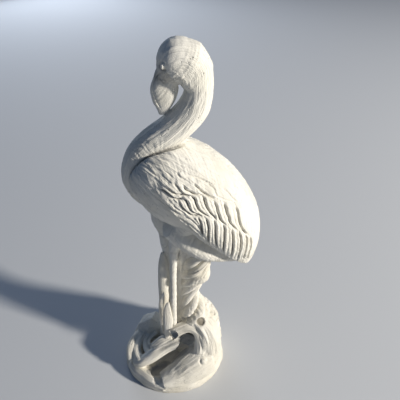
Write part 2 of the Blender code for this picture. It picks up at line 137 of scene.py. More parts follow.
# How the ridges sway in and out, and how they swell: the share of their size,
# the radians in a metre of height, and the radians from one ridge to the next.
STRAND_SWAY = (0.08, 31.0, 2.1)
STRAND_SWELL = (0.12, 47.0, 1.3)
CORE_THICKNESS = 0.76  # the core they turn round, in the trunk's radii
KNOB = ((0.068, 0.0, 0.333), (0.0265, 0.026, 0.031))  # swelling below the tail
LIMBS = {
    "front_strand": (
        (0.022, 0.006, 0.06, 0.028), (0.026, 0.002, 0.14, 0.022), (0.026, 0.008, 0.2, 0.014),
        (0.025, 0.01, 0.255, 0.011), (0.025, 0.006, 0.31, 0.0115), (0.029, 0.0, 0.36, 0.014),
        (0.032, -0.004, 0.41, 0.018), (0.042, 0.0, 0.47, 0.024)),
    "right_root": (
        (0.056, -0.004, 0.175, 0.026), (0.08, -0.018, 0.148, 0.029),
        (0.089, -0.025, 0.11, 0.034), (0.086, -0.025, 0.05, 0.04)),
    "outer_root": (
        (0.096, -0.012, 0.15, 0.012), (0.108, -0.018, 0.12, 0.013),
        (0.11, -0.024, 0.07, 0.016), (0.104, -0.03, 0.03, 0.016)),
    "stub": (
        (0.0, -0.041, 0.146, 0.017), (0.024, -0.031, 0.158, 0.015),
        (0.046, -0.027, 0.161, 0.0145), (0.064, -0.03, 0.147, 0.014),
        (0.071, -0.038, 0.12, 0.015), (0.07, -0.05, 0.09, 0.0165)),
    "boss": (
        (0.002, -0.022, 0.106, 0.012), (-0.024, -0.026, 0.095, 0.015),
        (-0.048, -0.031, 0.078, 0.013)),
    "upper_limb": (
        (0.044, -0.01, 0.112, 0.015), (0.017, -0.03, 0.102, 0.0145),
        (-0.009, -0.035, 0.09, 0.0155), (-0.037, -0.043, 0.076, 0.0165),
        (-0.06, -0.051, 0.062, 0.015),
        (-0.081, -0.056, 0.05, 0.013), (-0.098, -0.05, 0.042, 0.012)),
    "outer_band": (
        (-0.084, 0.026, 0.058, 0.01), (-0.098, 0.012, 0.064, 0.01),
        (-0.109, -0.008, 0.062, 0.0105), (-0.111, -0.028, 0.057, 0.0115),
        (-0.106, -0.044, 0.044, 0.012)),
    "middle_band": (
        (-0.076, 0.024, 0.06, 0.008), (-0.084, 0.008, 0.065, 0.008),
        (-0.091, -0.014, 0.062, 0.0085), (-0.093, -0.036, 0.058, 0.01),
        (-0.082, -0.052, 0.054, 0.011)),
    "inner_band": (
        (-0.058, 0.02, 0.064, 0.005), (-0.071, 0.002, 0.064, 0.0052),
        (-0.073, -0.02, 0.062, 0.0055), (-0.062, -0.04, 0.064, 0.008)),
    "core_band": (
        (-0.046, 0.014, 0.07, 0.0048), (-0.06, -0.002, 0.07, 0.0048),
        (-0.062, -0.018, 0.07, 0.0055), (-0.048, -0.032, 0.074, 0.008)),
    "curl_core": (
        (-0.052, 0.0, 0.05, 0.014), (-0.044, -0.018, 0.056, 0.013),
        (-0.026, -0.026, 0.066, 0.012)),
    "curl_floor": (
        (-0.074, 0.016, 0.04, 0.017), (-0.092, -0.01, 0.038, 0.019),
        (-0.09, -0.034, 0.034, 0.02), (-0.068, -0.05, 0.032, 0.018)),
    "front_log": (
        (-0.025, -0.094, 0.026, 0.022), (-0.003, -0.086, 0.03, 0.028),
        (0.019, -0.076, 0.034, 0.0345), (0.045, -0.062, 0.043, 0.0415),
        (0.068, -0.049, 0.049, 0.045), (0.088, -0.036, 0.052, 0.044)),
    "left_root": (
        (-0.11, -0.044, 0.02, 0.011), (-0.083, -0.067, 0.022, 0.014),
        (-0.05, -0.089, 0.021, 0.014), (-0.016, -0.104, 0.016, 0.012)),
}
FRONT_LOG = 1 + list(LIMBS).index("front_log")  # its number in a LimbPlace
# The channel under the stub that runs out between the upper limb and the log.
CHANNEL = (
    (0.048, 0.004, 0.122, 0.015), (0.045, -0.03, 0.131, 0.0155), (0.033, -0.035, 0.106, 0.0145),
    (0.007, -0.045, 0.068, 0.014), (-0.019, -0.057, 0.04, 0.0135), (-0.044, -0.07, 0.036, 0.012),
    (-0.056, -0.073, 0.036, 0.0085),
)
BROKEN_END = ((0.003, -0.05, 0.157), (0.013, 0.012, 0.0115))
KNOT_PAD = ((0.07, -0.012, 0.169), (0.021, 0.018, 0.024))  # smooth wood round the hole
STONE = (
    (-0.096, 0.03, 0.086), (-0.083, 0.058, 0.09), (-0.058, 0.034, 0.108), (-0.05, 0.064, 0.098),
    (-0.034, 0.03, 0.084), (-0.07, 0.014, 0.078), (-0.112, 0.034, 0.036), (-0.094, 0.074, 0.036),
    (-0.06, 0.092, 0.034), (-0.02, 0.08, 0.044), (-0.012, 0.04, 0.04), (-0.04, 0.004, 0.036),
    (-0.09, 0.002, 0.032), (-0.104, 0.034, 0.006), (-0.056, 0.088, 0.006), (-0.01, 0.04, 0.006),
)
# Leaves and stems: x, y, z and half width.
REEDS = {
    "tall": (
        (-0.022, 0.008, 0.045, 0.014), (-0.0175, 0.008, 0.2, 0.012),
        (-0.015, 0.008, 0.28, 0.0125), (-0.0125, 0.01, 0.345, 0.0105),
        (-0.0115, 0.012, 0.38, 0.004)),
    "narrow": (
        (-0.0175, -0.014, 0.05, 0.004), (-0.019, -0.016, 0.092, 0.003),
        (-0.0245, -0.016, 0.15, 0.0034), (-0.024, -0.016, 0.2, 0.005),
        (-0.0205, -0.016, 0.238, 0.0066), (-0.016, -0.016, 0.262, 0.005),
        (-0.0125, -0.016, 0.279, 0.0014)),
    "broad": (
        (-0.014, -0.024, 0.06, 0.005), (-0.013, -0.028, 0.112, 0.0055),
        (-0.0085, -0.03, 0.15, 0.0095), (-0.006, -0.03, 0.19, 0.0115),
        (-0.006, -0.029, 0.225, 0.0095), (-0.0042, -0.03, 0.25, 0.0055),
        (-0.0015, -0.032, 0.263, 0.0022)),
}
LEAF_FLATNESS = {"tall": 0.8, "narrow": 0.45, "broad": 0.4}
LEAF_GRAIN_RADIUS = 0.02  # radius that turns metres across a leaf into angles
BASE_HALF_LENGTH = 0.131
BASE_HALF_WIDTH = 0.114
BASE_PROFILE = ((0.0, 1.0), (0.01, 1.0), (0.022, 0.96), (0.028, 0.85), (0.03, 0.6))
GROUND_SNAP = 0.0012  # points lower than this are pressed flat to the ground
KNOT = np.array([0.078, -0.058, 0.072])  # boss on the front log
KNOT_RADIUS = 0.01
KNOTHOLE = np.array([0.071, -0.022, 0.178])  # dip in the trunk's flare
KNOTHOLE_RADIUS = 0.011
KNOT_AXIS = np.array([0.1, -0.78, 0.62])  # both face out and up
GRAIN_STRETCH = 14.0  # how many times longer than wide the fine grain is
GRAIN_TWIST = -34.0  # the trunk's grain, in radians a metre
LIMB_SHIFT = 0.4  # metres that each limb's grain starts past the last one's


# -------------------- numbers
def curve_rows(rows, count):
    """A smooth curve through rows of numbers, sampled at count places."""
    rows = np.asarray(rows, float)
    padded = np.vstack([rows[:1], rows, rows[-1:]])
    at = np.linspace(0.0, len(rows) - 1.0, count)
    cell = np.minimum(at.astype(int), len(rows) - 2)
    t = (at - cell)[:, None]
    before, start, end, after = (padded[cell + i] for i in range(4))
    return 0.5 * (
        2.0 * start + (end - before) * t
        + (2.0 * before - 5.0 * start + 4.0 * end - after) * t ** 2
        + (3.0 * start - before - 3.0 * end + after) * t ** 3)


def ease(value, low, high):
    """0 below low, 1 above high, and a smooth step between them."""
    t = np.clip((value - low) / (high - low), 0.0, 1.0)
    return t * t * (3.0 - 2.0 * t)


def band(value, start, full, fade, gone):
    """1 from full to fade, eased to 0 at start and at gone."""
    return ease(value, start, full) * (1.0 - ease(value, fade, gone))


def turns(count):
    """Angles that part a full turn evenly."""
    return np.linspace(0.0, FULL_TURN, count, endpoint=False)


def summed(kinds, grooves):
    """The grooves of several (depth, length, width, seed) kinds, added up."""
    return sum(depth * grooves(length, width, seed) for depth, length, width, seed in kinds)


# Steps that scatter whole numbers over a sine wave, and how far it is blown up.
SCATTER = np.array([127.1, 311.7, 74.7])
SEED_SCATTER = 17.3
BLOW_UP = 43758.5453


def lattice(cells, seed):
    """A fixed pseudo-random number from -1 to 1 for each row of whole numbers."""
    mixed = cells @ SCATTER[:cells.shape[1]] + SEED_SCATTER * seed
    wild = np.sin(mixed) * BLOW_UP
    return 2.0 * (wild - np.floor(wild)) - 1.0


def noise(points, seed):
    """Smooth noise from -1 to 1 on a unit grid, for rows of 2 or 3 numbers."""
    cells = np.floor(points)
    part = points - cells
    part = part * part * (3.0 - 2.0 * part)
    total = np.zeros(len(points))
    sides = points.shape[1]
    for corner in range(2 ** sides):
        step = np.array([(corner >> axis) & 1 for axis in range(sides)], float)
        share = np.prod(np.where(step > 0.5, part, 1.0 - part), axis=1)
        total += share * lattice(cells + step, seed)
    return total


CREASE_WANDER = 0.35  # how far grooves stray sideways, in their widths
CREASE_BENDS = (0.6, 0.3, 0.3)  # how often they stray, along and across
CREASE_CONTRAST = 1.9


def creases(along, around, radius, length, width, seed):
    """Fine broken grooves that run along a limb: 0 in a groove, up to 1 off it."""
    turn = around / radius
    spots = np.stack([along / length, radius * np.cos(turn) / width,
                      radius * np.sin(turn) / width], 1)
    spots[:, 1:] += CREASE_WANDER * noise(spots * CREASE_BENDS, seed + 5)[:, None]
    return 0.5 + 0.5 * np.clip(CREASE_CONTRAST * noise(spots, seed), -1.0, 1.0)


def stretches(points, path):
    """Each straight stretch of a path, and where the points lie against it.

    Gives its start, end, step and length, the metres before it, each point's
    share of the way along it, and the way to each point from there.
    """
    travelled = 0.0
    for start, end in zip(path[:-1], path[1:]):
        step = (end - start)[:points.shape[1]]
        size = float(np.linalg.norm(step))
        from_start = points - start[:len(step)]
        share = np.clip(from_start @ step / size ** 2, 0.0, 1.0)
        yield start, end, step, size, travelled, share, from_start - share[:, None] * step
        travelled += size


def nearest(points, path):
    """Distance to a path, place along it in metres, and the signed side in 2-D."""
    best = np.full(len(points), np.inf)
    place = np.zeros(len(points))
    side = np.ones(len(points))
    for _, _, step, size, travelled, share, away in stretches(points, path):
        distance = np.sqrt((away ** 2).sum(1))
        closer = distance < best
        best = np.where(closer, distance, best)
        place = np.where(closer, travelled + share * size, place)
        if len(step) == 2:
            turn = step[0] * away[:, 1] - step[1] * away[:, 0]
            side = np.where(closer, np.where(turn >= 0.0, 1.0, -1.0), side)
    return best, place, side


# -------------------- forms
NEAR_POLE = 0.49 * math.pi  # tilt of a ball's last ring, just short of its pole
NEARLY_ALONG = 0.9  # cosine past which two directions count as the same


class Clay:
    """Points and faces of overlapping closed forms that are fused together."""

    def __init__(self):
        self.points = []
        self.faces = []

    def rings(self, rings):
        """A closed skin over rings of points, capped at both ends."""
        base = len(self.points)
        count = len(rings[0])
        for ring in rings:
            self.points.extend(tuple(point) for point in ring)
        for row in range(len(rings) - 1):
            low = base + row * count
            for i in range(count):
                j = (i + 1) % count
                self.faces.append((low + i, low + j, low + count + j, low + count + i))
        self.faces.append(tuple(range(base, base + count))[::-1])
        self.faces.append(tuple(base + (len(rings) - 1) * count + i for i in range(count)))

    def tube(self, rows, sides=28, steps=10, flat=1.0, wide=(0.0, 1.0, 0.0)):
        """A limb through (x, y, z, radius) rows, flat times as thick as it is wide.

        Its width lies along wide, or along X where it sets off along wide.
        """
        path = curve_rows(rows, steps * (len(rows) - 1) + 1)
        centres = path[:, :3]
        heading = np.gradient(centres, axis=0)
        heading /= np.linalg.norm(heading, axis=1)[:, None]
        across = np.array(wide)
        if abs(heading[0] @ across) > NEARLY_ALONG:
            across = np.array([1.0, 0.0, 0.0])
        rings = []
        for centre, ahead, radius in zip(centres, heading, path[:, 3]):
            across = across - ahead * (across @ ahead)
            across /= np.linalg.norm(across)
            upward = np.cross(ahead, across)
            rings.append([
                centre + radius * (math.cos(turn) * across + flat * math.sin(turn) * upward)
                for turn in turns(sides)])
        self.rings(rings)

    def ball(self, centre, half_size, sides=32):
        rings = []
        for tilt in np.linspace(-NEAR_POLE, NEAR_POLE, sides // 2):
            ring = []
            for turn in turns(sides):
                ring.append((
                    centre[0] + half_size[0] * math.cos(tilt) * math.cos(turn),
                    centre[1] + half_size[1] * math.cos(tilt) * math.sin(turn),
                    centre[2] + half_size[2] * math.sin(tilt)))
            rings.append(ring)
        self.rings(rings)

    def wrap(self, balls):
        """The closed skin stretched over several balls."""
        inner = Clay()
        for centre, half_size in balls:
            inner.ball(centre, half_size, 48)
        self.hull(inner.points)

    def hull(self, points):
        """The closed faceted skin stretched over some points."""
        work = bmesh.new()
        for point in points:
            work.verts.new(point)
        bmesh.ops.convex_hull(work, input=work.verts)
        work.verts.index_update()
        base = len(self.points)
        self.points.extend(tuple(vert.co) for vert in work.verts)
        for face in work.faces:
            self.faces.append(tuple(base + vert.index for vert in face.verts))
        work.free()

    def mesh(self, name):
        mesh = bpy.data.meshes.new(name)
        mesh.from_pydata(self.points, [], self.faces)
        mesh.validate()
        return mesh


def new_object(name, mesh):
    thing = bpy.data.objects.new(name, mesh)
    bpy.context.scene.collection.objects.link(thing)
    return thing


def apply_modifiers(thing):
    bpy.context.view_layer.update()
    graph = bpy.context.evaluated_depsgraph_get()
    mesh = bpy.data.meshes.new_from_object(thing.evaluated_get(graph))
    thing.modifiers.clear()
    thing.data = mesh


def fuse(thing, voxel, smoothing):
    """Melt a thing's overlapping forms into one skin and ease its creases."""
    melt = thing.modifiers.new("Melt", "REMESH")
    melt.mode = "VOXEL"
    melt.voxel_size = voxel
    soften = thing.modifiers.new("Soften", "SMOOTH")
    soften.factor = 0.5
    soften.iterations = smoothing
    apply_modifiers(thing)


def thin(thing, most=MOST_FACES):
    """Drop the triangles that its flat places can spare."""
    triangles = 2 * len(thing.data.polygons)
    if triangles > most:
        fewer = thing.modifiers.new("Fewer", "DECIMATE")
        fewer.ratio = most / triangles
        apply_modifiers(thing)


def carve(thing, cutter, operation="DIFFERENCE"):
    cut = thing.modifiers.new("Cut", "BOOLEAN")
    cut.operation = operation
    cut.object = cutter
    apply_modifiers(thing)
    bpy.data.objects.remove(cutter)


def rows_of(items, name):
    flat = np.empty(3 * len(items))
    items.foreach_get(name, flat)
    return flat.reshape(-1, 3)


def points_and_normals(mesh):
    return rows_of(mesh.vertices, "co"), rows_of(mesh.vertex_normals, "vector")


def set_points(mesh, points):
    mesh.vertices.foreach_set("co", points.ravel())
    mesh.update()


def mark(mesh, name, values):
    """Store a number for each point, for the material to read."""
    layer = mesh.attributes.new(name, "FLOAT", "POINT")
    layer.data.foreach_set("value", values.astype(np.float32))


def mark_lie(mesh, along, turn, radius):
    """Store where each point lies along and round its limb, for the material's grain."""
    lie = np.stack([along / GRAIN_STRETCH, radius * np.cos(turn), radius * np.sin(turn)], 1)
    layer = mesh.attributes.new("lie", "FLOAT_VECTOR", "POINT")
    layer.data.foreach_set("vector", lie.astype(np.float32).ravel())


def shade_smooth(mesh):
    mesh.polygons.foreach_set("use_smooth", [True] * len(mesh.polygons))


# -------------------- the bird
# The block that cuts out a wing: its far corners, as (distance, height) places
# well clear of the body, and its width.
WING_BLOCK = ((0.38, 0.0), (0.38, 0.16), (-0.02, 0.16), (-0.02, 0.07))
WING_BLOCK_WIDTH = 0.15
LEAST_HALF_SIZE = 0.002  # keeps the body's end rings open
AHEAD = np.array([math.cos(BODY_SLOPE), 0.0, -math.sin(BODY_SLOPE)])
UPWARD = np.array([math.sin(BODY_SLOPE), 0.0, math.cos(BODY_SLOPE)])
BODY_SIZE = 0.085  # radius that turns angles round the body into metres


def along_body(distance, rise):
    return np.array(BODY_START) + AHEAD * distance + UPWARD * rise


def body_rings(winged):
    rings = []
    for distance, rise, tall, bare, wide in curve_rows(BODY, 8 * (len(BODY) - 1) + 1):
        half_width = max(wide if winged else bare, LEAST_HALF_SIZE)
        centre = along_body(distance, rise)
        ring = []
        for turn in turns(72):
            side = np.array([0.0, half_width * math.cos(turn), 0.0])
            ring.append(centre + side + UPWARD * max(tall, LEAST_HALF_SIZE) * math.sin(turn))
        rings.append(ring)
    return rings


def wing_mesh(side):
    """One folded wing: the wide egg, kept only above the wing's lower edge."""
    egg = Clay()
    egg.rings(body_rings(True))
    wing = new_object("wing", egg.mesh("wing"))
    edge = [tuple(row) for row in curve_rows(WING_EDGE, 40)]
    outline = edge + list(WING_BLOCK)
    prism = Clay()
    rings = []
    for y in (0.0, WING_BLOCK_WIDTH * side):
        rings.append([along_body(distance, height) + np.array([0.0, y, 0.0])
                      for distance, height in outline])
    prism.rings(rings)
    cutter = new_object("prism", prism.mesh("prism"))
    for mesh in (wing.data, cutter.data):
        recalculate(mesh)
    carve(wing, cutter, "INTERSECT")
    mesh = wing.data
    bpy.data.objects.remove(wing)
    return mesh


def recalculate(mesh):
    work = bmesh.new()
    work.from_mesh(mesh)
    bmesh.ops.recalc_face_normals(work, faces=work.faces)
    work.to_mesh(mesh)
    work.free()


def flat_rows(rows):
    return [(x, 0.0, z, radius) for x, z, radius in rows]


def join(name, clay, meshes=()):
    work = bmesh.new()
    work.from_mesh(clay.mesh(name))
    for mesh in meshes:
        work.from_mesh(mesh)
    joined = bpy.data.meshes.new(name)
    work.to_mesh(joined)
    work.free()
    return new_object(name, joined)


def boxy(part):
    """Turn a circle's sine or cosine into that of a box with rounded corners."""
    return math.copysign(abs(part) ** BILL_BOXINESS, part)


def bill_rings():
    rings = []
    for height, middle, depth, width in curve_rows(BILL, 6 * (len(BILL) - 1) + 1):
        rings.append([
            (middle + depth * boxy(math.cos(turn)), width * boxy(math.sin(turn)), height)
            for turn in turns(40)])
    return rings


def body_at(distance):
    """The middle's rise, the half height and the half widths at distances back."""
    stations = curve_rows(BODY, 120)
    return [np.interp(distance, stations[:, 0], column) for column in stations.T[1:]]


class BodyPlace:
    """Where points lie on the body: distance back, and metres up round its side."""

    def __init__(self, points):
        away = points - np.array(BODY_START)
        self.back = away @ AHEAD
        rise, tall, _, wide = body_at(self.back)
        lift = (away @ UPWARD - rise) / tall
        reach = np.abs(points[:, 1]) / wide
        self.round = BODY_SIZE * np.arctan2(lift, reach)
        self.size = np.sqrt(lift ** 2 + reach ** 2)


def on_side(rows):
    """(distance, height) places on the wing's side, as (distance, metres round)."""
    placed = []
    for distance, height in rows:
        rise, tall, _, _ = body_at(distance)
        lift = np.clip((height - rise) / tall, -1.0, 1.0)
        placed.append((distance, BODY_SIZE * math.asin(lift)))
    return np.array(placed)


# Feathers' edges on the wing's side, as (distance, height) places, with how deep
# and wide their groove is and how far the feather above stands proud of it.
FEATHERS = {
    "flight": (0.006, 0.0019, 0.0022, (
        ((0.114, 0.054), (0.123, 0.049), (0.135, 0.038), (0.149, 0.024)),
        ((0.121, 0.062), (0.133, 0.056), (0.144, 0.046), (0.164, 0.022), (0.176, 0.012)),
        ((0.138, 0.067), (0.151, 0.057), (0.164, 0.042), (0.184, 0.022), (0.2, 0.01)),
        ((0.158, 0.069), (0.171, 0.059), (0.185, 0.041), (0.204, 0.019), (0.217, 0.007)),
        ((0.18, 0.068), (0.194, 0.056), (0.213, 0.035), (0.238, 0.004)),
        ((0.197, 0.068), (0.215, 0.055), (0.233, 0.035), (0.256, 0.004)),
        ((0.217, 0.066), (0.238, 0.048), (0.268, 0.008)),
        ((0.231, 0.063), (0.252, 0.045), (0.277, 0.01)))),
    "greater": (0.0056, 0.0019, 0.0026, (
        ((0.066, 0.058), (0.076, 0.054), (0.089, 0.051), (0.104, 0.051), (0.116, 0.058)),
        ((0.07, 0.066), (0.081, 0.064), (0.091, 0.059), (0.103, 0.057), (0.121, 0.061)),
        ((0.078, 0.076), (0.088, 0.075), (0.098, 0.069), (0.111, 0.065), (0.131, 0.066)),
        ((0.093, 0.086), (0.102, 0.084), (0.113, 0.077), (0.126, 0.072), (0.147, 0.068)),
        ((0.117, 0.091), (0.128, 0.086), (0.137, 0.079), (0.15, 0.072), (0.168, 0.068)),
        ((0.135, 0.096), (0.147, 0.09), (0.159, 0.082), (0.172, 0.074), (0.194, 0.067)),
        ((0.16, 0.099), (0.173, 0.093), (0.185, 0.083), (0.201, 0.073), (0.226, 0.064)))),
    "median": (0.0048, 0.0019, 0.003, (
        ((0.033, 0.05), (0.045, 0.054), (0.057, 0.055), (0.066, 0.058), (0.071, 0.066)),
        ((0.038, 0.06), (0.045, 0.061), (0.053, 0.062), (0.061, 0.064), (0.071, 0.072)),
        ((0.047, 0.072), (0.054, 0.074), (0.062, 0.072), (0.071, 0.072), (0.08, 0.077)),
        ((0.059, 0.082), (0.067, 0.079), (0.077, 0.081), (0.086, 0.083), (0.095, 0.087)),
        ((0.071, 0.092), (0.082, 0.091), (0.095, 0.091), (0.108, 0.092), (0.12, 0.095)))),
    "front": (0.0026, 0.0016, 0.0012, (
        ((0.048, 0.037), (0.059, 0.037), (0.073, 0.037), (0.088, 0.037)),
        ((0.067, 0.044), (0.082, 0.045), (0.096, 0.045)),
        ((0.088, 0.03), (0.103, 0.032), (0.12, 0.032), (0.141, 0.027)),
        ((0.093, 0.042), (0.111, 0.042), (0.134, 0.036), (0.157, 0.022)),
        ((0.107, 0.048), (0.117, 0.046), (0.133, 0.038)),
        ((0.11, 0.025), (0.13, 0.023), (0.152, 0.016)))),
    "lesser": (0.002, 0.0016, 0.0014, (
        ((0.041, 0.088), (0.049, 0.086), (0.058, 0.088)),
        ((0.052, 0.092), (0.077, 0.103), (0.105, 0.103), (0.119, 0.098), (0.147, 0.1),
         (0.176, 0.105)),
        ((0.122, 0.109), (0.138, 0.107), (0.15, 0.104), (0.163, 0.103)),
        ((0.116, 0.125), (0.147, 0.121), (0.168, 0.116), (0.19, 0.107)))),
}
SHAFTED = ("flight", "greater")  # feathers with a fine line down their middle
SHAFT_DEPTH = 0.2  # of its feather's groove
SHAFT_SHAPE = (0.0012, 0.0003, 0.004)  # width, lift and fade of that line
WAVER = 0.0009  # how far a carved line strays
WAVER_LENGTH = 0.009  # metres between its bends
# A groove's points are looked for this near it. It gets shallower over this share
# of its length at each end, to this share of its depth.
GROOVE_REACH = 0.02
GROOVE_TAPER = 0.15
GROOVE_END = 0.2
ON_WING = (0.9, 0.96)  # share of the body's size where the wing's skin starts
BARB_DEPTH = 0.0007
BARB_SLANT = 0.8  # how far the barbs lean from the body's axis
BARB_RADIUS = 0.3  # radius that keeps them all but flat
BARBS = (0.02, 0.003, 33)  # length, width and seed
HEAD_LENGTH = 0.082  # from the bill to the nape, along the middle of the head
JAW_HEIGHT = 0.768  # the head is above this, the neck and bill below
# Where the cheek's feathers end over the bare face, and the bill's closed rim.
CHEEK = (
    (-0.01, 0.8255), (0.008, 0.8245), (0.0155, 0.818), (0.015, 0.8095), (0.018, 0.802),
    (0.022, 0.795), (0.0272, 0.7865), (0.033, 0.7785), (0.04, 0.772), (0.0465, 0.768),
    (0.048, 0.76),
)
BILL_RIM = (
    (0.011, 0.792), (0.001, 0.782), (-0.0035, 0.77), (-0.003, 0.758), (0.001, 0.745),
    (0.008, 0.728),
)
BILL_RIM_SHAPE = (0.0014, 0.0009, -0.0008, 0.004)  # depth, width, lift and fade
# A pair is where something starts and is full, and four add where it fades and is gone.
BEHIND_BILL = (0.036, 0.044)  # x
NECK_BEHIND_BILL = (0.735, 0.755)  # height
ON_HEAD = (0.78, 0.79)  # height
HEAD_SWELL = 0.01  # how far the head and nape may swell past their radius
EDGE_RAGGED = 0.0013  # how far the edge of the cheek's feathers strays
EDGE_RAGGED_LENGTH = 0.0042
EDGE_SOFTNESS = 0.0009
NEAR_NECK = (-0.005, -0.002)  # metres inside the neck's radius, so these are outside it
NEAR_TUBE = (-0.006, -0.002)
BILL_FOOT = (0.712, 0.722)  # height
FACE_HEIGHTS = (0.76, 0.782, 0.8, 0.812)
FACE_DEPTH = 0.0024  # how far the bare face lies below the cheek's feathers
SOCKET_DEPTH = 0.0018  # ring round the eye
SOCKET_RADIUS = 0.0062
SOCKET_WIDTH = 0.002
NECK_END = (0.062, 0.04)  # metres short of the neck's end where its strokes stop
HEAD_TO_NECK = (0.06, 0.11)  # metres along, where short strokes give way
LONG_STROKES = ((0.0008, 0.045, 0.0032, 11), (0.0004, 0.06, 0.006, 12))
LONG_SINK = 0.0008  # how far the neck's skin sinks for them
SHORT_STROKES = ((0.0007, 0.009, 0.003, 13),)
SHORT_SINK = 0.0002
PLUMES = (0.016, 0.0034, 14)  # length, width and seed of the body's strokes
PLUME_DEPTH = 0.0004
SHOULDER_DEPTH = 0.0012  # how much deeper they are on the shoulders
SHOULDER = (0.06, 0.12)  # metres back, where they fade
BODY_FOOT = (0.4, 0.46)  # height
BODY_TOP = (-0.7, -0.66)  # height, counted down
# Fold where the neck meets the breast.
FOLD_DEPTH = 0.0036
FOLD_REACH = (0.0, 0.0014, 0.003, 0.008)  # metres outside the neck's radius
FOLD_SIDE = (0.006, 0.016)  # metres from the middle
FOLD_BACK = (0.02, 0.045)  # metres back
FOLD_HEIGHTS = (0.59, 0.625, 0.7, 0.715)
# How far past the neck, and short of its end, the neck's grain is followed.
LIE_MARGIN = 0.0015
LIE_END = 0.05
LEG_AXIS = 0.02  # x of the line that the legs' grain turns round
LEG_GRAIN = 6.0  # makes that grain this many times finer
LEG_GRAIN_RADIUS = 0.01


def groove(here, path, depth, width, lift, fade=0.01):
    """Relief of one groove whose left side, going along it, stands proud by lift."""
    low = path.min(0) - GROOVE_REACH
    high = path.max(0) + GROOVE_REACH
    inside = np.all((here > low) & (here < high), axis=1)
    relief = np.zeros(len(here))
    if not inside.any():
        return relief
    distance, travelled, side = nearest(here[inside], path)
    whole = float(np.linalg.norm(np.diff(path, axis=0), axis=1).sum())
    from_end = np.minimum(travelled, whole - travelled)
    ends = np.clip(from_end / (GROOVE_TAPER * whole), GROOVE_END, 1.0)
    signed = distance * side
    cut = np.exp(-(signed / width) ** 2)
    proud = ease(signed, -0.5 * width, width) * np.exp(-np.maximum(signed, 0.0) / fade)
    relief[inside] = ends * (lift * proud - depth * cut)
    return relief


def wing_relief(place):
    here = np.stack([place.back, place.round], 1)
    here[:, 0] += WAVER * noise(here / WAVER_LENGTH, 31)
    here[:, 1] += WAVER * noise(here / WAVER_LENGTH, 32)
    relief = np.zeros(len(here))
    for name, (depth, width, lift, rows) in FEATHERS.items():
        edges = [curve_rows(on_side(row), 19) for row in rows]
        for edge in edges:
            relief += groove(here, edge, depth, width, lift)
        if name in SHAFTED:
            for edge, after in zip(edges[:-1], edges[1:]):
                shaft = 0.5 * (edge + after)
                relief += groove(here, shaft, SHAFT_DEPTH * depth, *SHAFT_SHAPE)
    barbs = creases(place.back - BARB_SLANT * place.round, place.back + place.round,
                    BARB_RADIUS, *BARBS)
    return relief + BARB_DEPTH * (barbs - 0.5)


class NeckPlace:
    """Where points lie on the head and neck: metres from the face, and round."""

    def __init__(self, points):
        rows = curve_rows(HEAD[::-1] + NECK, 160)
        flat, self.along, side = nearest(points[:, [0, 2]], rows[:, :2])
        travelled = np.linalg.norm(np.diff(rows[:, :2], axis=0), axis=1).cumsum()
        self.radius = np.interp(self.along, np.concatenate([[0.0], travelled]), rows[:, 2])
        self.turn = np.arctan2(points[:, 1], flat * side)
        self.excess = np.hypot(flat, points[:, 1]) - self.radius
        self.length = float(travelled[-1])
        # The head and nape swell a little past the radius given for them here.
        height = points[:, 2]
        behind_bill = ease(points[:, 0], *BEHIND_BILL) * ease(height, *NECK_BEHIND_BILL)
        self.slack = HEAD_SWELL * np.maximum(behind_bill, ease(height, *ON_HEAD))

    def strokes(self, length, width, seed):
        return creases(self.along, self.turn * self.radius, self.radius, length, width, seed)


def feathered_part(points, neck):
    """1 where the head and neck are feathered, 0 on the bare face and the bill."""
    here = points[:, [0, 2]]
    distance, _, side = nearest(here, curve_rows(CHEEK, 40))
    ragged = EDGE_RAGGED * noise(points / EDGE_RAGGED_LENGTH, 3)
    on_head = ease(distance * side + ragged, -EDGE_SOFTNESS, EDGE_SOFTNESS)
    on_neck = ease(neck.slack - neck.excess, *NEAR_NECK)
    below = np.where(neck.along > HEAD_LENGTH, on_neck, 0.0)
    return np.where(here[:, 1] > JAW_HEIGHT, on_head, below)


def breast_fold(points, place, neck):
    """1 in the fold round the foot of the neck, 0 away from it."""
    fold = band(neck.excess, *FOLD_REACH)
    fold *= ease(np.abs(points[:, 1]), *FOLD_SIDE) * (1.0 - ease(place.back, *FOLD_BACK))
    return fold * band(points[:, 2], *FOLD_HEIGHTS)


def add_face(relief, points, on_bill):
    """Add the bare face, the ring round the eye, and the rim where the bill closes."""
    here = points[:, [0, 2]]
    on_face = band(points[:, 2], *FACE_HEIGHTS)
    from_eye = np.hypot(here[:, 0] - EYE.x, here[:, 1] - EYE.z)
    relief -= FACE_DEPTH * on_bill * on_face
    relief -= SOCKET_DEPTH * np.exp(-((from_eye - SOCKET_RADIUS) / SOCKET_WIDTH) ** 2)
    relief += on_bill * groove(here, curve_rows(BILL_RIM, 30), *BILL_RIM_SHAPE)


